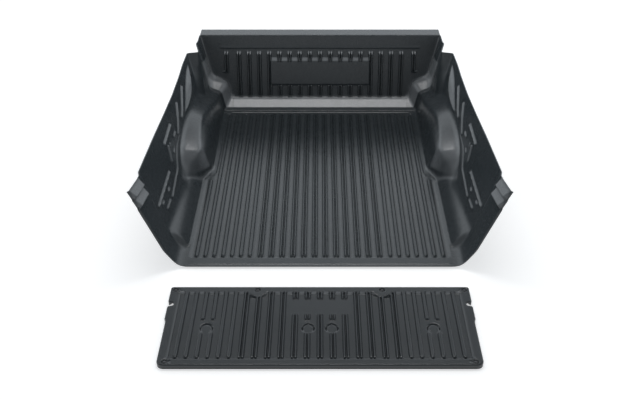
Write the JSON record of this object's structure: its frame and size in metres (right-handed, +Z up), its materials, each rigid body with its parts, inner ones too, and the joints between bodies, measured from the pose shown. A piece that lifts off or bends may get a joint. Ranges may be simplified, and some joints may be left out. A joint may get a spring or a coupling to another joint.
{
  "type": "truck bed liner",
  "caption": "Ribbed plastic truck bed liner: an open tub with wheel arches, embossed side walls and a lipped front wall, and a separate ribbed tailgate liner that swings up to close it.",
  "frame": {"origin": "on the ground under the middle of the whole layout: the tub, and behind it the tailgate liner lying flat", "axes": "+X to the right seen from the tailgate, +Y along the bed towards the cab, +Z up"},
  "size_m": [1.6022, 2.24, 0.414],
  "materials": {
    "liner_plastic": "charcoal polyethylene sheet, satin with a fine moulded grain",
    "washer_plastic": "black moulded nylon, satin",
    "screw_steel": "black zinc coated steel",
    "clip_steel": "zinc plated spring steel"
  },
  "bodies": {
    "tub": {"bed_tub": "liner_plastic", "wall_left_washer": "washer_plastic", "wall_left_screw": "screw_steel", "wall_left_clip_nut": "clip_steel", "wall_right_washer": "washer_plastic", "wall_right_screw": "screw_steel", "wall_right_clip_nut": "clip_steel"},
    "tailgate": {"tailgate_liner": "liner_plastic", "tailgate_near_left_washer": "washer_plastic", "tailgate_near_left_screw": "screw_steel", "tailgate_near_right_washer": "washer_plastic", "tailgate_near_right_screw": "screw_steel", "tailgate_far_left_washer": "washer_plastic", "tailgate_far_left_screw": "screw_steel", "tailgate_far_right_washer": "washer_plastic", "tailgate_far_right_screw": "screw_steel", "tailgate_pad_left_washer": "washer_plastic", "tailgate_pad_left_screw": "screw_steel", "tailgate_pad_right_washer": "washer_plastic", "tailgate_pad_right_screw": "screw_steel"}
  },
  "joints": [
    {"name": "tailgate_swing", "type": "hinge", "parent": "tub", "child": "tailgate", "pos_m": [0, -0.5975, 0.011], "axis": [-1, 0, 0], "range_deg": [0, 90]}
  ]
}
